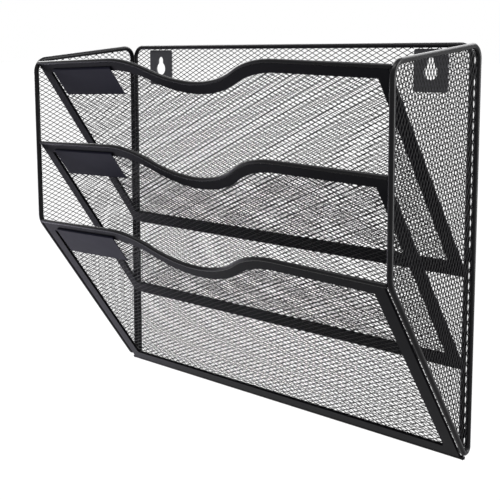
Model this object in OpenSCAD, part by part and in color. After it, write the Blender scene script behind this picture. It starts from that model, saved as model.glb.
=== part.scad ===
// Wall file rack of black expanded-metal mesh with three slanted pockets.
// X runs to the right, Y into the wall and Z up. The wall is the plane Y = 0.
// Z = 0 is the height of the two screw positions, so the rack hangs below its origin.

/* [Overall size] */
// Width across the outsides of the two side frames
rack_w = 334; // [320:1:350]
// Depth of the side frames, from the wall to their front
rack_d = 105; // [103:1:107]
// Height of the side frames at the wall
rack_h = 280; // [279:0.5:282]
// How far the side frames' top edge falls on its way to the front
top_fall = 11; // [9:0.5:12]
// Height at which the front of the side frames turns back towards the wall
bend_h = 139; // [138:0.5:141]
// How far the bend lies behind the front
bend_back = 1; // [0:0.5:3]
// Bending radius of the side frames at their lowest point
tip_r = 5.5; // [5:0.5:8]

/* [Slanted panels] */
// Angle between the panels and the floor, in degrees, which the side frames follow
panel_angle = 54.5; // [54:0.1:55]
// Height of the top panel's upper corners
top_panel_h = 265; // [264:0.5:266]
// Vertical distance from one panel to the next
tier_pitch = 63; // [61:0.5:64]
// Depth of the finger scoop in each panel, from the top panel to the bottom one
scoop_depths = [16, 20, 20];
// Half of the width of the finger scoop
scoop_half_w = 80; // [60:1:90]
// Rise of the upper edge from its corners to the scoop's shoulders
shoulder_rise = 4; // [2:0.5:6]
// Width of the flat steel border at the sides of a panel
side_border = 9.5; // [7:0.5:12]
// Width of the border that follows the upper edge
top_border = 8.5; // [6:0.5:10]
// Height of the upturned flange that joins a panel to the back
flange_h = 7; // [5:0.5:9]
// How far the lowest panel's bottom wire stands out from the wall
low_wire_out = 5; // [5:0.5:7]

/* [Wire and sheet] */
// Diameter of the wire of the side frames
side_wire_d = 3.8; // [3.4:0.1:4.2]
// Diameter of the wire of the back frame
back_wire_d = 3.4; // [3:0.1:3.8]
// Diameter of the wires along the panels' edges
edge_wire_d = 3; // [2.4:0.1:3.2]
// Thickness of the folded borders around the panels' mesh
border_t = 2.2; // [1.6:0.1:2.6]
// Thickness of the flanges
flange_t = 0.8; // [0.6:0.1:1]
// Thickness of the expanded metal
mesh_t = 0.5; // [0.4:0.1:0.6]
// Space between a panel's border and the side frames
side_gap = 1.2; // [0.8:0.1:1.6]

/* [Label holders] */
// Length of a label holder
label_w = 70; // [60:1:80]
// Height of a label holder, along the panel
label_h = 24.5; // [20:0.5:28]
// Distance from a panel's corner to its label holder, along the upper edge
label_inset = 15; // [12:0.5:18]
// How far a label holder's upper edge overlaps the border above it
label_lap = 3.5; // [2:0.5:4]
// How far a label holder stands out of the border that it is welded to
label_proud = 1.4; // [1.2:0.1:2]
// Thickness of a label holder's sheet
label_t = 0.6; // [0.5:0.1:0.8]

/* [Hanging plates] */
// Distance between the two screws
screw_spacing = 260; // [250:1:270]
// Height of the screws above the rack's base
hang_h = 260; // [258:0.5:261]
// Width of a hanging plate
plate_w = 26; // [24:1:30]
// Reach of a hanging plate below its screw
plate_below = 13.5; // [12:0.5:16]
// Reach of a hanging plate above its screw
plate_above = 15.5; // [14:0.5:15.5]
// Thickness of a hanging plate
plate_t = 1.5; // [1.2:0.1:1.8]
// Radius of the hole that passes the screw's head
head_hole_r = 5.3; // [4.5:0.1:5.6]
// Half of the width of the slot that holds the screw's shank
slot_r = 2.9; // [2.5:0.1:3.2]
// Length of that slot, between the two centres
slot_len = 7; // [6:0.1:8.5]

/* [Hidden] */
$fn = 48;
STEEL = [0.10, 0.10, 0.11];
MESH_STEEL = [0.16, 0.16, 0.17];
PLATE_STEEL = [0.13, 0.13, 0.15];

TIERS = 3;
front_y = -rack_d + 2.6;                              // where the panels' upper edges lie
panel_half_w = rack_w / 2 - side_wire_d - side_gap;   // half of a panel's width
back_mesh_y = -back_wire_d / 2;                       // middle of the back's expanded metal
back_half_w = panel_half_w - back_wire_d / 2;         // to the middle of the back frame's wire
back_top_h = rack_h - 2.2;                            // middle of the back frame's top wire
back_low_h = back_wire_d / 2 + 0.2;                   // middle of its bottom wire
flange_y = back_mesh_y - mesh_t / 2 - flange_t / 2;   // middle of a panel's flange
end_inset = border_t / 2 * sin(panel_angle);          // keeps a border's square end off the back
panel_len = (flange_y - end_inset - front_y) / cos(panel_angle);   // down the slope to the flange
low_wire_s = (-low_wire_out - front_y) / cos(panel_angle);   // the bottom wire, down the slope
low_border = 8;                                       // border at a panel's lower edge
wire_end = 1;                                         // an edge wire reaches this far past its panel
bend_lap = 0.3;                                       // a straight wire's reach into a bend
bend_extra = 0.04;                                    // how much thicker a bend is

// Corners of a side frame as [y, z], anticlockwise seen from the right, and their bending radii
side_outline = [
    [0, bend_h - (rack_d - bend_back) * tan(panel_angle)],
    [0, rack_h],
    [-rack_d, rack_h - top_fall],
    [-rack_d + bend_back, bend_h]
];
side_radii = [tip_r, 10, 12, 16];

// Corners of the back frame's wire as [x, z]
back_path = [
    [-back_half_w, back_low_h], [back_half_w, back_low_h],
    [back_half_w, back_top_h], [-back_half_w, back_top_h]
];
back_radii = [8, 8, 8, 8];

function unit(v) = v / norm(v);
function left_of(v) = [-v.y, v.x];
function turn(a, b, c) =
    let (u = unit(b - a), v = unit(c - b)) atan2(u.x * v.y - u.y * v.x, u * v);
function last(list) = len(list) - 1;
function wrap(list, i) = list[(i + len(list)) % len(list)];

// Length of wire that the bend at corner i takes from each of its two straights
function bend_len(path, radii, i) =
    radii[i] * tan(abs(turn(wrap(path, i - 1), path[i], wrap(path, i + 1))) / 2);

// The points of a path with each corner rounded to its own radius
function rounded(path, radii, steps = 10) = [
    for (i = [0 : last(path)])
        let (a = wrap(path, i - 1), b = path[i], c = wrap(path, i + 1), t = turn(a, b, c))
        let (start = b - unit(b - a) * bend_len(path, radii, i))
        let (centre = start + left_of(unit(b - a)) * radii[i] * sign(t))
        let (from = atan2(start.y - centre.y, start.x - centre.x))
        for (k = [0 : radii[i] > 0 ? steps : 0])
            radii[i] > 0
                ? centre + radii[i] * [cos(from + t * k / steps), sin(from + t * k / steps)]
                : b
];

// A closed anticlockwise outline with every side moved inwards by d
function inset(path, d) = [
    for (i = [0 : last(path)])
        let (m = left_of(unit(path[i] - wrap(path, i - 1))))
        let (n = left_of(unit(wrap(path, i + 1) - path[i])))
        path[i] + (m + n) * d / (1 + m * n)
];

// Upper edge of a panel from left to right, as corners to be rounded, in the panel's own plane.
// Its scoop is one hollow arc between two round shoulders.
function scoop_turn(depth) = 2 * atan((depth + shoulder_rise) / scoop_half_w);
function scoop_r(depth) = scoop_half_w / (2 * sin(scoop_turn(depth)));
function shoulder_x(depth) = scoop_half_w - scoop_r(depth) * tan(scoop_turn(depth) / 2);
function upper_edge(depth, half_w) =
    let (t = scoop_turn(depth), x = shoulder_x(depth))
    let (middle_y = -depth - scoop_r(depth) * (1 / cos(t) - 1))
    [[-half_w, 0], [-x, shoulder_rise], [0, middle_y], [x, shoulder_rise], [half_w, 0]];
function edge_radii(depth) =
    let (r = scoop_r(depth)) [0, 0.85 * r, r, 0.85 * r, 0];

// A panel's outline between the given heights below its upper edge, anticlockwise
function panel_outline(depth, half_w, top, low) =
    let (edge = upper_edge(depth, half_w))
    concat([[-half_w, -low], [half_w, -low]],
           [for (i = [last(edge) : -1 : 0]) edge[i] - [0, top]]);
function panel_radii(depth, low_r) =
    let (r = edge_radii(depth)) concat([low_r, low_r], [for (i = [last(r) : -1 : 0]) r[i]]);

// Puts a drawing in the Y-Z plane, so that its own X becomes Y, its Y becomes Z and its Z, X
module in_side_plane() {
    rotate([90, 0, 90]) children();
}

// Puts a drawing in the X-Z plane, with its own Z towards the front
module in_back_plane() {
    rotate([90, 0, 0]) children();
}

// Puts a drawing in the plane of a slanted panel: Y up the slope, Z out of its front face
module in_panel_plane(tier) {
    translate([0, front_y, top_panel_h - tier * tier_pitch])
        rotate([180 - panel_angle, 0, 0]) children();
}

// Moves what is drawn above the rack's base so that the screws are at the origin's height
module hung() {
    translate([0, 0, -hang_h]) children();
}

// A wire of diameter d along a flat path, bent at each corner to its own radius. The bends are a
// hair thicker than the straights, whose ends run a little way into them.
module bent_wire(path, radii, d, closed = false) {
    ends = closed ? 0 : 1;
    for (i = [0 : last(path) - ends]) {
        j = (i + 1) % len(path);
        along = unit(path[j] - path[i]);
        from_bend = closed || i > 0;
        to_bend = closed || j < last(path);
        a = path[i] + along * (from_bend ? bend_len(path, radii, i) - bend_lap : 0);
        b = path[j] - along * (to_bend ? bend_len(path, radii, j) - bend_lap : 0);
        translate([a.x, a.y, 0])
            rotate([0, 90, atan2(along.y, along.x)])
                cylinder(h = norm(b - a), d = d);
    }
    for (i = [ends : last(path) - ends]) {
        before = wrap(path, i - 1);
        t = turn(before, path[i], wrap(path, i + 1));
        along = unit(path[i] - before);
        start = path[i] - along * bend_len(path, radii, i);
        centre = start + left_of(along) * radii[i] * sign(t);
        from = atan2(start.y - centre.y, start.x - centre.x);
        translate([centre.x, centre.y, 0])
            rotate([0, 0, min(from, from + t)])
                rotate_extrude(angle = abs(t), $fn = 96)
                    translate([radii[i], 0]) circle(d = d + bend_extra);
    }
}

// Outline of a hanging plate's keyhole, about the screw's position before the rack drops
module keyhole() {
    circle(r = head_hole_r);
    translate([-slot_r, 0]) square([2 * slot_r, slot_len]);
    translate([0, slot_len]) circle(r = slot_r);
}

// Outline of a hanging plate
module plate_outline() {
    translate([-plate_w / 2, -plate_below]) square([plate_w, plate_below + plate_above]);
}

module side_frame(side) {
    r = side_wire_d / 2;
    translate([side * (rack_w / 2 - r), 0, 0])
        in_side_plane()
            bent_wire(inset(side_outline, r), [for (x = side_radii) x - r], side_wire_d, true);
}

module side_mesh(side) {
    translate([side * (rack_w / 2 - side_wire_d / 2) - mesh_t / 2, 0, 0])
        in_side_plane()
            linear_extrude(mesh_t)
                polygon(rounded(inset(side_outline, side_wire_d),
                                [for (x = side_radii) x - side_wire_d]));
}

module back_frame() {
    color(STEEL)
        hung()
            translate([0, back_mesh_y, 0])
                in_back_plane() bent_wire(back_path, back_radii, back_wire_d, true);
}

module back_mesh() {
    r = back_wire_d / 2;
    color(MESH_STEEL)
        hung()
            translate([0, back_mesh_y + mesh_t / 2, 0])
                in_back_plane()
                    linear_extrude(mesh_t)
                        difference() {
                            polygon(rounded(inset(back_path, r), [for (x = back_radii) x - r]));
                            for (side = [-1, 1])
                                translate([side * screw_spacing / 2, hang_h]) plate_outline();
                        }
}

module keyhole_plate(side) {
    color(PLATE_STEEL)
        hung()
            translate([side * screw_spacing / 2, 0, hang_h])
                in_back_plane()
                    linear_extrude(plate_t)
                        difference() {
                            plate_outline();
                            keyhole();
                        }
}

module front_border(tier) {
    depth = scoop_depths[tier];
    lowest = tier == TIERS - 1;
    low = lowest ? low_wire_s - edge_wire_d / 2 : panel_len;
    color(STEEL)
        hung() {
            in_panel_plane(tier)
                translate([0, 0, -border_t / 2])
                    linear_extrude(border_t)
                        difference() {
                            polygon(rounded(
                                panel_outline(depth, panel_half_w, edge_wire_d / 2, low),
                                panel_radii(depth, 0)));
                            panel_window(tier);
                        }
            if (!lowest)
                translate([-panel_half_w, flange_y - flange_t / 2, flange_low(tier)])
                    cube([2 * panel_half_w, flange_t, flange_h]);
        }
}

// Height of the lower edge of a panel's flange
function flange_low(tier) =
    top_panel_h - tier * tier_pitch - panel_len * sin(panel_angle)
        - border_t / 2 * cos(panel_angle);

// The part of a panel that is expanded metal
module panel_window(tier) {
    depth = scoop_depths[tier];
    low = low_wire_s - edge_wire_d / 2 - low_border;
    polygon(rounded(
        panel_outline(depth, panel_half_w - side_border, top_border, low),
        panel_radii(depth, 2)));
}

module front_mesh(tier) {
    color(MESH_STEEL)
        hung()
            in_panel_plane(tier)
                translate([0, 0, -mesh_t / 2]) linear_extrude(mesh_t) panel_window(tier);
}

module front_top_wire(tier) {
    depth = scoop_depths[tier];
    color(STEEL)
        hung()
            in_panel_plane(tier)
                bent_wire(upper_edge(depth, panel_half_w + wire_end), edge_radii(depth),
                          edge_wire_d);
}

module front_bottom_wire() {
    color(STEEL)
        hung()
            in_panel_plane(TIERS - 1)
                translate([-panel_half_w, -low_wire_s, 0])
                    rotate([0, 90, 0]) cylinder(h = 2 * panel_half_w, d = edge_wire_d);
}

// A pressed plate with three folded edges, open on the right so that a card slides in. It lies
// along the straight part of the upper edge, which rises a little from the corner.
module label_holder(tier) {
    run = panel_half_w - shoulder_x(scoop_depths[tier]);
    low = -top_border + label_lap - label_h;
    color(PLATE_STEEL)
        hung()
            in_panel_plane(tier)
                translate([-panel_half_w, 0, border_t / 2])
                    rotate([0, 0, atan(shoulder_rise / run)])
                        translate([label_inset, low, 0])
                            difference() {
                                cube([label_w, label_h, label_proud]);
                                translate([label_t, label_t, -1])
                                    cube([label_w, label_h - 2 * label_t,
                                          label_proud - label_t + 1]);
                            }
}

module side_frame_left() { color(STEEL) hung() side_frame(-1); }
module side_frame_right() { color(STEEL) hung() side_frame(1); }
module side_mesh_left() { color(MESH_STEEL) hung() side_mesh(-1); }
module side_mesh_right() { color(MESH_STEEL) hung() side_mesh(1); }

back_frame();
back_mesh();
keyhole_plate(-1);  // keyhole_plate_left
keyhole_plate(1);  // keyhole_plate_right
side_frame_left();
side_frame_right();
side_mesh_left();
side_mesh_right();
front_border(0);  // front_border_1
front_border(1);  // front_border_2
front_border(2);  // front_border_3
front_mesh(0);  // front_mesh_1
front_mesh(1);  // front_mesh_2
front_mesh(2);  // front_mesh_3
front_top_wire(0);  // front_top_wire_1
front_top_wire(1);  // front_top_wire_2
front_top_wire(2);  // front_top_wire_3
front_bottom_wire();
label_holder(0);  // label_holder_1
label_holder(1);  // label_holder_2
label_holder(2);  // label_holder_3
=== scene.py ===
"""Looks of the wall file rack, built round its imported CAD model.

Everything is in metres, in the CAD model's frame: X to the right, Y into the wall, Z up.
The rack is black powder-coated steel: wire frames, expanded-metal mesh whose cut edges sit in
folded borders, pressed label holders and two keyhole plates.
"""

import math

import bmesh
import bpy
import numpy as np
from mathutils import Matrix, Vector


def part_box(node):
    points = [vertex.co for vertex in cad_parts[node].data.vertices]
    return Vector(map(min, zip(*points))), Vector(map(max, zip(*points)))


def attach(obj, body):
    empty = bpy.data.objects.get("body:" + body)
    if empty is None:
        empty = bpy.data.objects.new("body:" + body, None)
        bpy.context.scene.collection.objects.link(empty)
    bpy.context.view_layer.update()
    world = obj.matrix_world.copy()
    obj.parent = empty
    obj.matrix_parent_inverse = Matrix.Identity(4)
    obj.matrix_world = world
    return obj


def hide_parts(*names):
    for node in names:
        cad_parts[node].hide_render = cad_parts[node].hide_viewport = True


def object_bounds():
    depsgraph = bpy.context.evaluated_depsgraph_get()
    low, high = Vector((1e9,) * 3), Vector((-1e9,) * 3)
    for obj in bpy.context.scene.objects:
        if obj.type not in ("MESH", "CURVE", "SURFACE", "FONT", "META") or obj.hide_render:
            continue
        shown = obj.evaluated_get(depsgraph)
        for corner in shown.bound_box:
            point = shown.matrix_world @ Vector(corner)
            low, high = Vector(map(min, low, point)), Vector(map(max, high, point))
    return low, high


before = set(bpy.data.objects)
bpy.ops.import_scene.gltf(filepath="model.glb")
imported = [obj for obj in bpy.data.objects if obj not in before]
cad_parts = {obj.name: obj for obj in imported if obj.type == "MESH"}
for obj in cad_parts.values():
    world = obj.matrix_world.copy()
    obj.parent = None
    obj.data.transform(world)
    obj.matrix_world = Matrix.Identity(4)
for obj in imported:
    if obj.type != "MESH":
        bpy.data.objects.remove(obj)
cad_low, cad_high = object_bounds()
MM = 0.001

# Sizes that the frame gives
side_low, side_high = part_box("side_frame_right")
back_low, back_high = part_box("back_frame")
SIDE_X = (side_low.x + side_high.x) / 2
SIDE_WIRE_R = (side_high.x - side_low.x) / 2
BACK_WIRE_R = (back_high.y - back_low.y) / 2
BACK_Y = (back_high.y + back_low.y) / 2
BACK_HALF_W = back_high.x - BACK_WIRE_R
BACK_TOP = back_high.z - BACK_WIRE_R
BACK_FOOT = back_low.z + BACK_WIRE_R
FRONT_Y = side_low.y

# The side frames' outline, whose corners are bent to the radii below
TOP_CORNER_RISE = 2.2 * MM  # from the middle of the back frame's top wire
RACK_TOP = BACK_TOP + TOP_CORNER_RISE
TOP_FALL = 11 * MM
BEND_Z = -121 * MM
BEND_BACK = 1 * MM
PANEL_ANGLE = math.radians(54.5)
SIDE_RADII = [5.5 * MM, 10 * MM, 12 * MM, 16 * MM]
BACK_RADIUS = 8 * MM

# The slanted panels
TIERS = 3
PANEL_Y = FRONT_Y + 2.6 * MM
TOP_PANEL_Z = 5 * MM
TIER_PITCH = 63 * MM
SCOOP_DEPTHS = [16 * MM, 20 * MM, 20 * MM]
SCOOP_HALF_W = 80 * MM
SHOULDER_RISE = 4 * MM
SHOULDER_BEND_SHARE = 0.85  # the shoulders' bending radius over the scoop's
SIDE_GAP = 1.2 * MM
PANEL_HALF_W = side_low.x - SIDE_GAP
EDGE_WIRE_R = 1.5 * MM
SIDE_BORDER = 9.5 * MM
TOP_BORDER = 8.5 * MM
LOW_BORDER = 8 * MM
BORDER_T = 2.2 * MM
SHEET_T = 0.6 * MM
FLANGE_T = 0.8 * MM
FLANGE_H = 7 * MM
FLANGE_BEND = 1.2 * MM
FLANGE_LAP = 4 * MM  # how far the flange's sheet reaches up the panel
FLANGE_FOOT_RISE = 0.2 * MM
BACK_SHEET_T = 0.5 * MM
LOW_WIRE_Y = -5 * MM
BORDER_START = 0.5 * EDGE_WIRE_R  # from the middle of an edge wire to the border
BORDER_CORNER_R = 0.4 * MM
WINDOW_CORNER_R = 2 * MM

# The expanded metal
LONG_HALF = 3.5 * MM
SHORT_HALF = 1.75 * MM
STRAND_SHARE = 0.15
MESH_T = 0.25 * MM
LOUVRE = 0.1 * MM
JITTER = 0.02 * MM
WAVE = 0.12 * MM  # the sheet's slight waviness, and its rates in radians per metre
WAVE_RATES = (61, 53)
SIDE_MESH_INSET = 1.3 * SIDE_WIRE_R
BACK_MESH_INSET = 0.3 * BACK_WIRE_R
MESH_TUCK = 2.2 * MM  # how far the middles of the outer cells may lie inside a folded border

# Label holders and hanging plates
LABEL_W = 70 * MM
LABEL_H = 24.5 * MM
LABEL_INSET = 15 * MM
LABEL_LAP = 3.5 * MM
LABEL_PROUD = 1.4 * MM
LABEL_FOLD_R = 0.9 * MM
LABEL_CORNER_R = 1.3 * MM
LABEL_LEAST_R = 0.2 * MM
LABEL_FOLD_STEPS = 5
SCREW_X = 130 * MM
HEAD_HOLE_R = 5.3 * MM
SLOT_R = 2.9 * MM
SLOT_LEN = 7 * MM
PLATE_CORNER_R = 1.6 * MM
PLATE_BEVEL = 0.3 * MM

# A wire's domed end: how far each ring is pushed out and how wide it is, in the wire's radii
WIRE_DOME = [(0.35, 0.93), (0.6, 0.7), (0.72, 0.36)]

# Points closer than this are one
SAME_POINT = 1e-7

random = np.random.default_rng(7)


# ---------------------------------------------------------------- shapes in two dimensions


def unit(v):
    return v / np.linalg.norm(v)


def unit_rows(v):
    return v / np.linalg.norm(v, axis=1)[:, None]


def rounded(path, radii, closed=True, step=6):
    """The path's points, with each corner turned into an arc, step degrees at a time."""
    path = [np.array(p, float) for p in path]
    points = []
    for i, corner in enumerate(path):
        if not closed and i in (0, len(path) - 1):
            points.append(corner)
            continue
        u = unit(corner - path[i - 1])
        v = unit(path[(i + 1) % len(path)] - corner)
        turn = math.atan2(u[0] * v[1] - u[1] * v[0], u @ v)
        start = corner - u * radii[i] * math.tan(abs(turn) / 2)
        centre = start + np.array([-u[1], u[0]]) * radii[i] * np.sign(turn)
        first = math.atan2(*(start - centre)[::-1])
        count = max(2, math.ceil(abs(math.degrees(turn)) / step))
        for k in range(count + 1):
            angle = first + turn * k / count
            points.append(centre + radii[i] * np.array([math.cos(angle), math.sin(angle)]))
    return np.array(points)


def inset(path, d):
    """A closed anticlockwise outline with every side moved inwards by d."""
    path = [np.array(p, float) for p in path]
    moved = []
    for i, corner in enumerate(path):
        u = unit(corner - path[i - 1])
        v = unit(path[(i + 1) % len(path)] - corner)
        m, n = np.array([-u[1], u[0]]), np.array([-v[1], v[0]])
        moved.append(corner + (m + n) * d / (1 + m @ n))
    return moved


def side_outline(d):
    """A side frame's outline in (Y, Z), moved inwards by d, anticlockwise."""
    corners = [
        (0, BEND_Z + (FRONT_Y + BEND_BACK) * math.tan(PANEL_ANGLE)),
        (0, RACK_TOP),
        (FRONT_Y, RACK_TOP - TOP_FALL),
        (FRONT_Y + BEND_BACK, BEND_Z),
    ]
    return rounded(inset(corners, d), [r - d for r in SIDE_RADII])


def back_outline(d):
    """The back frame's outline in (X, Z), moved inwards by d from its wire's middle."""
    x, low, high = BACK_HALF_W - d, BACK_FOOT + d, BACK_TOP - d
    return rounded([(-x, low), (x, low), (x, high), (-x, high)], [BACK_RADIUS - d] * 4)


def scoop(tier):
    """A scoop's turn, its bending radius and how far its shoulders' corners are from its middle."""
    turn = 2 * math.atan((SCOOP_DEPTHS[tier] + SHOULDER_RISE) / SCOOP_HALF_W)
    r = SCOOP_HALF_W / (2 * math.sin(turn))
    return turn, r, SCOOP_HALF_W - r * math.tan(turn / 2)


def upper_edge(tier, half_w):
    """A panel's upper edge from left to right: a hollow arc between two round shoulders."""
    turn, r, shoulder = scoop(tier)
    middle = -SCOOP_DEPTHS[tier] - r * (1 / math.cos(turn) - 1)
    corners = [
        (-half_w, 0),
        (-shoulder, SHOULDER_RISE),
        (0, middle),
        (shoulder, SHOULDER_RISE),
        (half_w, 0),
    ]
    shoulder_r = SHOULDER_BEND_SHARE * r
    return rounded(corners, [0, shoulder_r, r, shoulder_r, 0], closed=False, step=2)


def panel_outline(tier, half_w, top, low, low_r, count=150):
    """A panel's outline, clockwise from its upper left corner, with as many points each time."""
    edge = upper_edge(tier, PANEL_HALF_W)
    x = np.linspace(-half_w, half_w, count)
    upper = np.stack([x, np.interp(x, edge[:, 0], edge[:, 1]) - top], 1)
    right = np.linspace(upper[-1], (half_w, -low + low_r), 30)[1:]
    left = np.linspace((-half_w, -low + low_r), upper[0], 30)[:-1]
    angles = np.radians(np.linspace(0, -90, 5))[1:]
    corner = np.stack([np.cos(angles) - 1, np.sin(angles)], 1) * low_r
    right_corner = corner + right[-1]
    left_corner = (corner * (-1, 1))[::-1] + left[0]
    foot = np.linspace(right_corner[-1], left_corner[0], count)[1:-1]
    return np.concatenate([upper, right, right_corner, foot, left_corner, left])


# ---------------------------------------------------------------- places in space


def in_side(x):
    """Puts (Y, Z) drawings in the plane at x, with their depth along X."""
    return lambda p, q, r: np.stack([x + r, p, q], -1)


def in_back(y):
    """Puts (X, Z) drawings in the plane at y, with their depth towards the front."""
    return lambda p, q, r: np.stack([p, y - r, q], -1)


def in_panel(tier):
    """Puts a drawing in a slanted panel: q up the slope, r out of its front face."""
    up = np.array([0, -math.cos(PANEL_ANGLE), math.sin(PANEL_ANGLE)])
    out = np.array([0, -math.sin(PANEL_ANGLE), -math.cos(PANEL_ANGLE)])
    start = np.array([0, PANEL_Y, TOP_PANEL_Z - tier * TIER_PITCH])

    def place(p, q, r):
        p, q, r = (np.asarray(a, float)[..., None] for a in (p, q, r))
        return start + p * np.array([1.0, 0, 0]) + q * up + r * out

    return place


# ---------------------------------------------------------------- mesh building


def piece(name, vertices, faces, material, slot, nodes, smooth=True):
    """A mesh object that rides on the rack and stands for the named CAD nodes."""
    data = bpy.data.meshes.new(name)
    data.from_pydata([tuple(v) for v in vertices], [], [tuple(f) for f in faces])
    data.validate()
    obj = bpy.data.objects.new(name, data)
    bpy.context.scene.collection.objects.link(obj)
    data.materials.append(material)
    data.polygons.foreach_set("use_smooth", [smooth] * len(data.polygons))
    outward(data)
    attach(obj, "root")
    if nodes:
        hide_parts(*nodes)
    return obj


def outward(data):
    """Turns every face's normal outwards."""
    bm = bmesh.new()
    bm.from_mesh(data)
    bmesh.ops.recalc_face_normals(bm, faces=bm.faces)
    bm.to_mesh(data)
    bm.free()


def tube(points, across, radius, closed=True, sides=20):
    """Vertices and faces of a round wire along a path in a plane whose normal is across. An open
    wire's ends are domed by rings that shrink as they go out along it."""
    points = np.asarray(points, float)
    if closed:
        ahead = np.roll(points, -1, 0) - points
        along = unit_rows(ahead) + unit_rows(np.roll(ahead, 1, 0))
    else:
        along = np.gradient(points, axis=0)
    along = unit_rows(along)
    across = np.array(across, float)
    outwards = np.cross(across, along)
    angles = np.linspace(0, 2 * math.pi, sides, endpoint=False)
    rings = [(points, radius)]
    if not closed:
        for push, share in WIRE_DOME:
            rings.insert(0, (points[:1] - along[:1] * push * radius, radius * share))
            rings.append((points[-1:] + along[-1:] * push * radius, radius * share))
    vertices = []
    for centres, r in rings:
        for centre in centres:
            k = int(np.argmin(np.linalg.norm(points - centre, axis=1)))
            ring = np.outer(np.cos(angles), outwards[k]) + np.outer(np.sin(angles), across)
            vertices.extend(centre + r * ring)
    count = len(vertices) // sides
    faces = []
    for i in range(count if closed else count - 1):
        a, b = i * sides, (i + 1) % count * sides
        for j in range(sides):
            k = (j + 1) % sides
            faces.append((a + j, a + k, b + k, b + j))
    if not closed:
        faces.append(tuple(range(sides)))
        faces.append(tuple(range((count - 1) * sides, count * sides)))
    return vertices, faces


def framed(outer, inner, profile, place):
    """A closed strip between two outlines. A profile point is a distance inwards from the
    outer outline, or outwards from the inner one if it is negative or -0.0, and a height."""
    towards = unit_rows(inner - outer)
    count = len(outer)
    vertices = []
    for d, height in profile:
        from_inner = math.copysign(1, d) < 0
        flat = (inner if from_inner else outer) + towards * d
        vertices.extend(place(flat[:, 0], flat[:, 1], np.full(count, height)))
    faces = []
    for i in range(len(profile)):
        a, b = i * count, (i + 1) % len(profile) * count
        for j in range(count):
            k = (j + 1) % count
            faces.append((a + j, a + k, b + k, b + j))
    return vertices, faces


def joined(*parts):
    """Several sets of vertices and faces as one."""
    vertices, faces = [], []
    for more_vertices, more_faces in parts:
        start = len(vertices)
        vertices.extend(more_vertices)
        faces.extend([tuple(start + i for i in f) for f in more_faces])
    return vertices, faces


def convex_depth(outline):
    """A function that says how far points lie inside a convex anticlockwise outline."""
    a = np.asarray(outline)
    edge = np.roll(a, -1, 0) - a
    keep = np.linalg.norm(edge, axis=1) > SAME_POINT
    a, normal = a[keep], unit_rows(np.stack([-edge[keep, 1], edge[keep, 0]], 1))
    offset = (a * normal).sum(1)
    return lambda p, q: (p[..., None] * normal[:, 0] + q[..., None] * normal[:, 1] - offset).min(-1)


def expanded_metal(low, high, depth, place, upright=False, margin=0.0, outline=None, windows=()):
    """Vertices and faces of expanded metal between two corners, where depth says that points
    are inside by more than margin. Each cell is a diamond ring with a front, a back and an inner
    wall. Diamonds are long along the first axis, or along the second if upright. With an
    outline, the outer cells are cut along it; windows are rectangles that are cut out."""
    a, b = (SHORT_HALF, LONG_HALF) if upright else (LONG_HALF, SHORT_HALF)
    share = 1 - STRAND_SHARE
    middle = (np.array(low) + np.array(high)) / 2
    reach = (np.array(high) - np.array(low)) / 2
    columns = np.arange(-math.ceil(reach[0] / a) - 1, math.ceil(reach[0] / a) + 2)
    rows = np.arange(-math.ceil(reach[1] / b) - 1, math.ceil(reach[1] / b) + 2)
    column, row = (g.ravel() for g in np.meshgrid(columns, rows))
    even = (column + row) % 2 == 0
    column, row = column[even], row[even]
    corners = np.array([(1, 0), (0, 1), (-1, 0), (0, -1)])

    def deep(share_of_cell):
        p = middle[0] + (column[:, None] + corners[:, 0] * share_of_cell) * a
        q = middle[1] + (row[:, None] + corners[:, 1] * share_of_cell) * b
        return depth(p, q)

    if outline is None:
        kept = deep(0)[:, 0] > margin
        whole = np.ones(kept.sum(), bool)
    else:
        at_corners = deep(1)
        kept = (at_corners > 0).any(1)
        whole = (at_corners > 0).all(1)[kept]
    column, row = column[kept], row[kept]
    grid = np.stack([column, row], 1)[:, None] + corners
    nodes, outer = np.unique(grid.reshape(-1, 2), axis=0, return_inverse=True)
    outer = outer.reshape(-1, 4)
    centres = np.stack([middle[0] + column * a, middle[1] + row * b], 1)
    outer_flat = middle + nodes * (a, b)
    inner_flat = (centres[:, None] + corners * share * (a, b)).reshape(-1, 2)
    tilt = np.array([0, -1, 0, 1]) if not upright else np.array([-1, 0, 1, 0])
    inner_lift = np.tile(tilt * LOUVRE, len(column))
    jitter = random.normal(0, JITTER, (len(inner_flat), 2))
    flat = np.concatenate([outer_flat, inner_flat + jitter])
    lift = np.concatenate([np.zeros(len(outer_flat)), inner_lift])
    wave = np.sin(flat[:, 0] * WAVE_RATES[0] + 1) * np.cos(flat[:, 1] * WAVE_RATES[1])
    lift = lift + WAVE * wave
    points = np.concatenate([
        place(flat[:, 0], flat[:, 1], lift + MESH_T / 2),
        place(flat[:, 0], flat[:, 1], lift - MESH_T / 2),
    ])
    back = len(flat)
    inner = len(outer_flat) + np.arange(len(column) * 4).reshape(-1, 4)
    faces = []
    for k in range(4):
        n = (k + 1) % 4
        ring = [outer[:, k], outer[:, n], inner[:, n], inner[:, k]]
        faces.append(np.stack(ring, 1))
        faces.append(np.stack([ring[3] + back, ring[2] + back, ring[1] + back, ring[0] + back], 1))
        wall = [inner[:, k], inner[:, n], inner[:, n] + back, inner[:, k] + back]
        faces.append(np.stack(wall, 1))
    faces = np.stack(faces, 1)
    if outline is None:
        return points, faces.reshape(-1, 4).tolist()
    return trimmed(points, faces, whole, outline, place, windows, centres)


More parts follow.
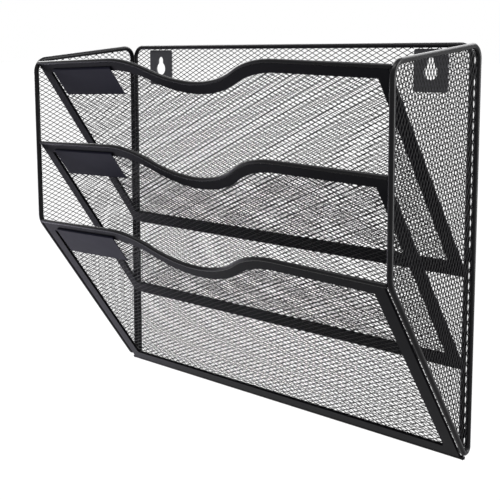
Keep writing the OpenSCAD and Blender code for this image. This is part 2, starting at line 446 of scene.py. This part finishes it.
def trimmed(points, faces, whole, outline, place, windows, centres):
    """Cuts the cells that aren't whole along a convex outline, and all of them at windows."""
    near = np.zeros(len(faces), bool)
    for (p0, q0), (p1, q1) in windows:
        pad = 2 * LONG_HALF
        near |= (
            (centres[:, 0] > p0 - pad)
            & (centres[:, 0] < p1 + pad)
            & (centres[:, 1] > q0 - pad)
            & (centres[:, 1] < q1 + pad)
        )
    bm = bmesh.new()
    vertices = [bm.verts.new(p) for p in points]
    edge_faces, window_faces = [], []
    for cell, is_whole, is_near in zip(faces.tolist(), whole, near):
        for f in cell:
            made = bm.faces.new([vertices[i] for i in f])
            if not is_whole:
                edge_faces.append(made)
            if is_near:
                window_faces.append(made)
    zero, one = np.zeros(1), np.ones(1)
    origin = place(zero, zero, zero)[0]
    axis_p, axis_q = place(one, zero, zero)[0] - origin, place(zero, one, zero)[0] - origin

    def cut(some_faces, point, direction, clear):
        some_faces = [f for f in some_faces if f.is_valid]
        geometry = list({e for f in some_faces for e in f.edges})
        geometry += list({v for f in some_faces for v in f.verts}) + some_faces
        made = bmesh.ops.bisect_plane(
            bm,
            geom=geometry,
            dist=SAME_POINT,
            plane_co=origin + point[0] * axis_p + point[1] * axis_q,
            plane_no=direction[0] * axis_p + direction[1] * axis_q,
            clear_outer=clear,
        )
        return [g for g in made["geom"] if isinstance(g, bmesh.types.BMFace)]

    for low, high in windows:
        for point, direction in ((low, (1, 0)), (high, (1, 0)), (low, (0, 1)), (high, (0, 1))):
            window_faces = cut(window_faces, point, direction, False)
        inside = []
        for f in window_faces:
            middle = np.array(f.calc_center_median()) - origin
            p, q = middle @ axis_p, middle @ axis_q
            if low[0] < p < high[0] and low[1] < q < high[1]:
                inside.append(f)
        window_faces = [f for f in window_faces if f not in set(inside)]
        bmesh.ops.delete(bm, geom=inside, context="FACES")
    for a, b in zip(outline, np.roll(outline, -1, 0)):
        if np.linalg.norm(b - a) > SAME_POINT:
            along = unit(b - a)
            edge_faces = cut(edge_faces, a, (along[1], -along[0]), True)
    bm.verts.index_update()
    made = [v.co[:] for v in bm.verts], [[v.index for v in f.verts] for f in bm.faces]
    bm.free()
    return made


# ---------------------------------------------------------------- materials

# Noise scales, per metre
PATCHES = 45
ROUGH_SPOTS = 160
DUST_SPECKS = 900
ORANGE_PEEL = 1500
# The film's darkest, lightest and rubbed places, over its own colour
DARKER, LIGHTER, RUBBED = 0.8, 1.25, 2.4
# How much smoother and rougher than its own roughness the film gets
SMOOTHER, ROUGHER = 0.05, 0.07
# Dust: its colour, the upward part of a surface's normal from which it lies there, and its most
DUST_COLOUR = (0.05, 0.05, 0.055)
DUST_FROM = 0.35
DUST_MOST = 0.1
# The pointiness at which an edge starts to look rubbed, and is rubbed most
RUB_FROM, RUB_FULL = 0.53, 0.62
PEEL_STRENGTH = 0.35


def powder_coat(name, colour, rough, grain, specular, wear):
    """Black powder coat: an uneven satin film with a fine orange-peel grain, a trace of dust on
    what faces up, and a slightly rubbed look on raised edges."""
    material = bpy.data.materials.new(name)
    material.use_nodes = True
    nodes, links = material.node_tree.nodes, material.node_tree.links
    shader = nodes["Principled BSDF"]
    shader.inputs["Specular IOR Level"].default_value = specular
    shader.inputs["IOR"].default_value = 1.5

    def node(kind, **settings):
        made = nodes.new(kind)
        for key, value in settings.items():
            if key in made.inputs:
                made.inputs[key].default_value = value
            else:
                setattr(made, key, value)
        return made

    place = node("ShaderNodeTexCoord")

    def noise(scale, detail):
        made = node("ShaderNodeTexNoise", Scale=scale, Detail=detail)
        links.new(place.outputs["Object"], made.inputs["Vector"])
        return made.outputs["Fac"]

    def ramp(source, low, high):
        made = node("ShaderNodeMapRange")
        made.inputs["To Min"].default_value = low
        made.inputs["To Max"].default_value = high
        links.new(source, made.inputs["Value"])
        return made.outputs["Result"]

    def mixed(share, a, b):
        made = node("ShaderNodeMix", data_type="RGBA")
        links.new(share, made.inputs[0])
        for socket, value in ((made.inputs[6], a), (made.inputs[7], b)):
            if isinstance(value, tuple):
                socket.default_value = (*value, 1)
            else:
                links.new(value, socket)
        return made.outputs[2]

    uneven = mixed(
        ramp(noise(PATCHES, 3), 0.0, 1.0),
        tuple(DARKER * c for c in colour),
        tuple(LIGHTER * c for c in colour),
    )
    facing = node("ShaderNodeNewGeometry")
    split = node("ShaderNodeSeparateXYZ")
    links.new(facing.outputs["Normal"], split.inputs[0])
    upwards = node("ShaderNodeMapRange")
    upwards.inputs["From Min"].default_value = DUST_FROM
    upwards.inputs["To Max"].default_value = DUST_MOST
    links.new(split.outputs["Z"], upwards.inputs["Value"])
    dust = node("ShaderNodeMath", operation="MULTIPLY")
    links.new(upwards.outputs["Result"], dust.inputs[0])
    links.new(ramp(noise(DUST_SPECKS, 4), -0.4, 1.2), dust.inputs[1])
    dusty = mixed(dust.outputs[0], uneven, DUST_COLOUR)
    edges = node("ShaderNodeMapRange")
    edges.inputs["From Min"].default_value = RUB_FROM
    edges.inputs["From Max"].default_value = RUB_FULL
    edges.inputs["To Max"].default_value = wear
    links.new(facing.outputs["Pointiness"], edges.inputs["Value"])
    rubbed = mixed(edges.outputs["Result"], dusty, tuple(RUBBED * c for c in colour))
    links.new(rubbed, shader.inputs["Base Color"])

    spots = ramp(noise(ROUGH_SPOTS, 4), rough - SMOOTHER, rough + ROUGHER)
    links.new(spots, shader.inputs["Roughness"])
    bump = node("ShaderNodeBump", Strength=PEEL_STRENGTH, Distance=grain)
    links.new(noise(ORANGE_PEEL, 3), bump.inputs["Height"])
    links.new(bump.outputs["Normal"], shader.inputs["Normal"])
    return material


# Darker than the paint itself, so that the rack stays black under the white world
WIRE_COAT = powder_coat("wire_coat", (0.003, 0.003, 0.0035), 0.25, 0.04 * MM, 0.1, 0.3)
BORDER_COAT = powder_coat("border_coat", (0.003, 0.003, 0.004), 0.33, 0.04 * MM, 0.03, 0.5)
MESH_COAT = powder_coat("mesh_coat", (0.0025, 0.0025, 0.003), 0.38, 0.02 * MM, 0.05, 0.2)
PLATE_COAT = powder_coat("plate_coat", (0.024, 0.024, 0.027), 0.36, 0.04 * MM, 0.15, 0.5)
LABEL_COAT = powder_coat("label_coat", (0.005, 0.005, 0.009), 0.36, 0.02 * MM, 0.03, 0.5)


# ---------------------------------------------------------------- the wires

for side, word in ((-1, "left"), (1, "right")):
    loop = side_outline(SIDE_WIRE_R)
    centre = in_side(side * SIDE_X)(loop[:, 0], loop[:, 1], np.zeros(len(loop)))
    made = tube(centre, (1, 0, 0), SIDE_WIRE_R)
    piece(f"wire_side_{word}", *made, WIRE_COAT, "wire_steel", [f"side_frame_{word}"])

loop = back_outline(0)
centre = in_back(BACK_Y)(loop[:, 0], loop[:, 1], np.zeros(len(loop)))
made = tube(centre, (0, 1, 0), BACK_WIRE_R)
piece("wire_back", *made, WIRE_COAT, "wire_steel", ["back_frame"])

slope_out = (0, -math.sin(PANEL_ANGLE), -math.cos(PANEL_ANGLE))
for tier in range(TIERS):
    edge = upper_edge(tier, PANEL_HALF_W)
    place = in_panel(tier)
    made = tube(
        place(edge[:, 0], edge[:, 1], np.zeros(len(edge))), slope_out, EDGE_WIRE_R, closed=False
    )
    nodes = [f"front_top_wire_{tier + 1}"]
    piece(f"wire_upper_edge_{tier + 1}", *made, WIRE_COAT, "wire_steel", nodes)

low_wire_q = -(LOW_WIRE_Y - PANEL_Y) / math.cos(PANEL_ANGLE)
x = np.linspace(-PANEL_HALF_W, PANEL_HALF_W, 30)
place = in_panel(TIERS - 1)
made = tube(
    place(x, np.full(len(x), low_wire_q), np.zeros(len(x))), slope_out, EDGE_WIRE_R, closed=False
)
piece("wire_lower_edge", *made, WIRE_COAT, "wire_steel", ["front_bottom_wire"])


# ---------------------------------------------------------------- the panels' folded borders

half_t = BORDER_T / 2
fold_r = 0.55 * MM
slit = half_t - SHEET_T
lip = 0.12 * MM
slit_depth = 3.5 * MM
BORDER_PROFILE = [
    (0.0, 0.0),
    (0.12 * fold_r, 0.55 * half_t),
    (0.45 * fold_r, 0.86 * half_t),
    (fold_r, half_t),
    (-lip, half_t),
    (-0.0, half_t - lip),
    (-0.0, slit + lip),
    (-lip, slit),
    (-slit_depth, slit),
    (-slit_depth, -slit),
    (-lip, -slit),
    (-0.0, -slit - lip),
    (-0.0, -half_t + lip),
    (-lip, -half_t),
    (fold_r, -half_t),
    (0.45 * fold_r, -0.86 * half_t),
    (0.12 * fold_r, -0.55 * half_t),
]

flange_y = BACK_Y - BACK_SHEET_T / 2 - FLANGE_T / 2
panel_len = (flange_y - half_t * math.sin(PANEL_ANGLE) - PANEL_Y) / math.cos(PANEL_ANGLE)
window_low = -low_wire_q - EDGE_WIRE_R - LOW_BORDER


def flange(tier):
    """A panel's lower edge, bent up against the back: a folded strip along X."""
    place = in_panel(tier)
    foot = place(0.0, -panel_len, -half_t)
    path = [
        place(0.0, -panel_len + FLANGE_LAP, -half_t + FLANGE_T / 2)[1:],
        (flange_y, foot[2] + FLANGE_FOOT_RISE),
        (flange_y, foot[2] + FLANGE_H),
    ]
    line = rounded(path, [0, FLANGE_BEND, 0], closed=False, step=10)
    along = unit_rows(np.gradient(line, axis=0))
    normal = np.stack([-along[:, 1], along[:, 0]], 1) * FLANGE_T / 2
    section = np.concatenate([line + normal, (line - normal)[::-1]])
    vertices, faces = [], []
    for x in (-PANEL_HALF_W, PANEL_HALF_W):
        vertices.extend([(x, p[0], p[1]) for p in section])
    n = len(section)
    for j in range(n):
        k = (j + 1) % n
        faces.append((j, k, n + k, n + j))
    faces.append(tuple(range(n)))
    faces.append(tuple(range(n, 2 * n)))
    return vertices, faces


for tier in range(TIERS):
    low = -low_wire_q - BORDER_START if tier == TIERS - 1 else panel_len
    outer = panel_outline(tier, PANEL_HALF_W, BORDER_START, low, BORDER_CORNER_R)
    window_half = PANEL_HALF_W - SIDE_BORDER
    inner = panel_outline(tier, window_half, TOP_BORDER, window_low, WINDOW_CORNER_R)
    made = framed(outer, inner, BORDER_PROFILE, in_panel(tier))
    if tier < TIERS - 1:
        made = joined(made, flange(tier))
    nodes = [f"front_border_{tier + 1}"]
    piece(f"border_{tier + 1}", *made, BORDER_COAT, "border_steel", nodes, smooth=False)


# ---------------------------------------------------------------- the expanded metal

loop = side_outline(SIDE_MESH_INSET)
for side, word, upright in ((-1, "left", False), (1, "right", True)):
    made = expanded_metal(
        loop.min(0), loop.max(0), convex_depth(loop), in_side(side * SIDE_X), upright, outline=loop
    )
    nodes = [f"side_mesh_{word}"]
    piece(f"mesh_side_{word}", *made, MESH_COAT, "mesh_steel", nodes, smooth=False)

loop = back_outline(BACK_MESH_INSET)
windows = []
for word in ("left", "right"):
    plate_low, plate_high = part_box(f"keyhole_plate_{word}")
    windows.append(((plate_low.x, plate_low.z), (plate_high.x, plate_high.z)))
made = expanded_metal(
    loop.min(0),
    loop.max(0),
    convex_depth(loop),
    in_back(BACK_Y),
    outline=loop,
    windows=windows,
)
piece("mesh_back", *made, MESH_COAT, "mesh_steel", ["back_mesh"], smooth=False)


def window_depth(tier):
    """How far points lie inside a panel's window."""
    edge = upper_edge(tier, PANEL_HALF_W)

    def depth(p, q):
        below = np.interp(p, edge[:, 0], edge[:, 1]) - TOP_BORDER - q
        beside = PANEL_HALF_W - SIDE_BORDER - np.abs(p)
        return np.minimum(np.minimum(below, beside), q + window_low)

    return depth


for tier in range(TIERS):
    half = PANEL_HALF_W - SIDE_BORDER
    made = expanded_metal(
        (-half, -window_low),
        (half, SHOULDER_RISE - TOP_BORDER),
        window_depth(tier),
        in_panel(tier),
        margin=-MESH_TUCK,
    )
    nodes = [f"front_mesh_{tier + 1}"]
    piece(f"mesh_front_{tier + 1}", *made, MESH_COAT, "mesh_steel", nodes, smooth=False)


# ---------------------------------------------------------------- label holders and plates


def label_holder(tier):
    """A pressed plate, folded back to the border on three edges and open on the right. It lies
    along the straight part of the upper edge, which rises a little from the corner."""
    place = in_panel(tier)
    rise = math.atan(SHOULDER_RISE / (PANEL_HALF_W - scoop(tier)[2]))
    along = np.array([math.cos(rise), math.sin(rise)])
    across = np.array([-math.sin(rise), math.cos(rise)])
    left, right = LABEL_INSET, LABEL_INSET + LABEL_W
    top = LABEL_LAP - TOP_BORDER
    low = top - LABEL_H
    face = half_t + LABEL_PROUD
    levels = [(0.0, half_t)]
    for k in range(LABEL_FOLD_STEPS + 1):
        angle = math.pi / 2 * k / LABEL_FOLD_STEPS
        out = LABEL_FOLD_R * (1 - math.sin(angle))
        levels.append((LABEL_FOLD_R * (1 - math.cos(angle)), face - out))
    vertices, faces = [], []
    for d, height in levels:
        r = max(LABEL_CORNER_R - d, LABEL_LEAST_R)
        path = [(right, top - d), (left + d, top - d), (left + d, low + d), (right, low + d)]
        line = rounded(path, [0, r, r, 0], closed=False, step=15)
        count = len(line)
        flat = line[:, :1] * along + line[:, 1:] * across
        vertices.extend(place(flat[:, 0] - PANEL_HALF_W, flat[:, 1], np.full(count, height)))
    for i in range(len(levels) - 1):
        for j in range(count - 1):
            a, b = i * count + j, (i + 1) * count + j
            faces.append((a, a + 1, b + 1, b))
    last = (len(levels) - 1) * count
    faces.append(tuple(range(last, last + count)))
    return vertices, faces


for tier in range(TIERS):
    nodes = [f"label_holder_{tier + 1}"]
    holder = piece(
        f"card_holder_{tier + 1}", *label_holder(tier), LABEL_COAT, "label_steel", nodes
    )
    largest = max(holder.data.polygons, key=lambda face: face.area)
    largest.use_smooth = False
    wall = holder.modifiers.new("wall", "SOLIDIFY")
    wall.thickness = SHEET_T
    wall.offset = -1


def ray_points(outline, centre, angles):
    """Where rays from the centre meet a closed outline."""
    a = np.asarray(outline) - centre
    b = np.roll(a, -1, 0)
    points = []
    for angle in angles:
        d = np.array([math.cos(angle), math.sin(angle)])
        cross = d[0] * (b - a)[:, 1] - d[1] * (b - a)[:, 0]
        cross[np.abs(cross) < 1e-12] = 1e-12
        t = (a[:, 0] * (b - a)[:, 1] - a[:, 1] * (b - a)[:, 0]) / cross
        s = (a[:, 0] * d[1] - a[:, 1] * d[0]) / cross
        hits = t[(t > 0) & (s >= -1e-9) & (s <= 1 + 1e-9)]
        points.append(centre + d * hits.min())
    return np.array(points)


def keyhole():
    """The keyhole's outline about the screw, anticlockwise: a round hole with a slot above."""
    meet = math.acos(SLOT_R / HEAD_HOLE_R)
    around = np.linspace(math.pi - meet, 2 * math.pi + meet, 48)
    head = np.stack([np.cos(around), np.sin(around)], 1) * HEAD_HOLE_R
    over = np.linspace(0, math.pi, 20)
    slot = np.stack([np.cos(over) * SLOT_R, np.sin(over) * SLOT_R + SLOT_LEN], 1)
    return np.concatenate([head, slot])


for word, sign in (("left", -1), ("right", 1)):
    low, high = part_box(f"keyhole_plate_{word}")
    thick = high.y - low.y
    bevel = PLATE_BEVEL
    hole = keyhole() + (sign * SCREW_X, 0)
    rim = [(low.x, low.z), (high.x, low.z), (high.x, high.z), (low.x, high.z)]
    rim = rounded(rim, [PLATE_CORNER_R] * 4, step=15)
    middle = np.array([sign * SCREW_X, 0.3 * SLOT_LEN])
    angles = [math.atan2(*(p - middle)[::-1]) for p in np.concatenate([rim, hole])]
    angles = sorted(set(np.round(angles, 6)))
    profile = [
        (0.0, bevel / 3),
        (0.0, thick - bevel),
        (0.3 * bevel, thick - 0.3 * bevel),
        (bevel, thick),
        (-bevel, thick),
        (-0.3 * bevel, thick - 0.3 * bevel),
        (-0.0, thick - bevel),
        (-0.0, bevel / 3),
        (-bevel / 3, 0.0),
        (bevel / 3, 0.0),
    ]
    made = framed(
        ray_points(rim, middle, angles), ray_points(hole, middle, angles), profile, in_back(0)
    )
    nodes = [f"keyhole_plate_{word}"]
    piece(f"hanger_{word}", *made, PLATE_COAT, "plate_steel", nodes, smooth=False)


# ---------------------------------------------------------------- welds


def weld_bead(centre, radii):
    """An uneven weld bead: a squashed ball with a lumpy surface."""
    bm = bmesh.new()
    bmesh.ops.create_icosphere(bm, subdivisions=3, radius=1.0)
    for v in bm.verts:
        lump = 1 + 0.08 * math.sin(5 * v.co.x + 3 * v.co.y + 40 * centre[2])
        lump += 0.05 * math.sin(7 * v.co.z + 30 * centre[1])
        v.co = Vector(c * r * lump for c, r in zip(v.co, radii))
    made = [tuple(v.co + Vector(centre)) for v in bm.verts]
    faces = [[v.index for v in f.verts] for f in bm.faces]
    bm.free()
    return made, faces


UPPER_CORNER_BEAD = (1.0 * MM, 1.2 * MM, 1.5 * MM)
LOW_WIRE_BEAD = (1.6 * MM, 1.6 * MM, 1.6 * MM)
REAR_BEAD = (1.3 * MM, 1.2 * MM, 3.2 * MM)
REAR_BEAD_HEIGHTS = (0.06, 0.5, 0.94)  # as shares of the back frame's height

beads = []
for sign in (-1, 1):
    for tier in range(TIERS):
        y, z = PANEL_Y, TOP_PANEL_Z - tier * TIER_PITCH
        at = (sign * (SIDE_X - 1.1 * SIDE_WIRE_R), y, z)
        beads.append(weld_bead(at, UPPER_CORNER_BEAD))
    at = (sign * (SIDE_X - SIDE_WIRE_R), LOW_WIRE_Y, place(0.0, low_wire_q, 0.0)[2])
    beads.append(weld_bead(at, LOW_WIRE_BEAD))
    for share in REAR_BEAD_HEIGHTS:
        z = BACK_FOOT + (BACK_TOP - BACK_FOOT) * share
        at = (sign * (SIDE_X - SIDE_WIRE_R - SIDE_GAP / 2), BACK_Y, z)
        beads.append(weld_bead(at, REAR_BEAD))
piece("weld_beads", *joined(*beads), WIRE_COAT, "wire_steel", [])


# ---------------------------------------------------------------- the studio


def stage_mesh(name, vertices, faces, colour, rough, glow):
    """A plain surface of the studio."""
    data = bpy.data.meshes.new(name)
    data.from_pydata(vertices, [], faces)
    obj = bpy.data.objects.new(name, data)
    bpy.context.scene.collection.objects.link(obj)
    material = bpy.data.materials.new(name)
    material.use_nodes = True
    shader = material.node_tree.nodes["Principled BSDF"]
    shader.inputs["Base Color"].default_value = (*colour, 1)
    shader.inputs["Roughness"].default_value = rough
    shader.inputs["Emission Color"].default_value = (1, 1, 1, 1)
    shader.inputs["Emission Strength"].default_value = glow
    data.materials.append(material)
    return obj


FLOOR_DROP = 0.55
FLOOR_REACH = 80.0
floor_z = cad_low.z - FLOOR_DROP
floor_corners = ((-1, -1), (1, -1), (1, 1), (-1, 1))
floor = stage_mesh(
    "floor",
    [(x * FLOOR_REACH, y * FLOOR_REACH, floor_z) for x, y in floor_corners],
    [(0, 1, 2, 3)],
    colour=(0.93, 0.93, 0.93),
    rough=0.6,
    glow=0.12,
)

# The lamps light the rack alone. On the floor they would only burn out the thin mesh seen
# against it.
off_the_floor = bpy.data.collections.new("off_the_floor")
off_the_floor.objects.link(floor)
off_the_floor.collection_objects[0].light_linking.link_state = "EXCLUDE"


def softbox(name, at, aim, size, power, tint):
    """A soft rectangular lamp that faces a point."""
    lamp = bpy.data.lights.new(name, "AREA")
    lamp.shape = "RECTANGLE"
    lamp.size, lamp.size_y = size
    lamp.energy = power
    lamp.color = tint
    obj = bpy.data.objects.new(name, lamp)
    obj.location = at
    obj.rotation_euler = (Vector(aim) - Vector(at)).to_track_quat("-Z", "Y").to_euler()
    obj.visible_camera = False
    obj.light_linking.receiver_collection = off_the_floor
    bpy.context.scene.collection.objects.link(obj)


rack_middle = (cad_low + cad_high) / 2
WHITE = (1, 1, 1)
# Each lamp's name, place, size, power in watts and tint
LAMPS = [
    ("above_behind", (-0.1, 1.0, 0.8), (1.6, 0.6), 16, WHITE),
    ("above_front", (0.1, -0.5, 0.9), (1.3, 0.35), 16, WHITE),
    ("left", (-1.3, 0.3, 0.6), (1.0, 1.5), 26, WHITE),
    ("low_left", (-0.85, 0.0, -0.52), (1.3, 1.1), 6, (0.80, 0.76, 1.0)),
    ("right", (1.3, 0.6, 0.2), (0.8, 1.4), 44, WHITE),
]
for name, at, size, power, tint in LAMPS:
    softbox(name, at, rack_middle, size, power, tint)

world = bpy.data.worlds.new("studio")
bpy.context.scene.world = world
world.use_nodes = True
sky = world.node_tree.nodes["Background"]
sky.inputs["Color"].default_value = (1, 1, 1, 1)
sky.inputs["Strength"].default_value = 1.0

view = bpy.context.scene.view_settings
view.view_transform = "Standard"
view.look = "None"

# ---------------------------------------------------------------- the camera

CAMERA_AT = (0.4478, -0.5486, 0.0108)
CAMERA_AZIMUTH = 41.09
CAMERA_TILT = -6.71
CAMERA_LENS = 66.86
CAMERA_SHIFT = -0.17
camera_data = bpy.data.cameras.new("camera")
camera_data.sensor_width = 36
camera_data.lens = CAMERA_LENS
camera_data.shift_y = CAMERA_SHIFT
camera_data.clip_start = 0.01
camera = bpy.data.objects.new("camera", camera_data)
camera.location = CAMERA_AT
camera.rotation_euler = (math.radians(90 + CAMERA_TILT), 0, math.radians(CAMERA_AZIMUTH))
bpy.context.scene.collection.objects.link(camera)
bpy.context.scene.camera = camera
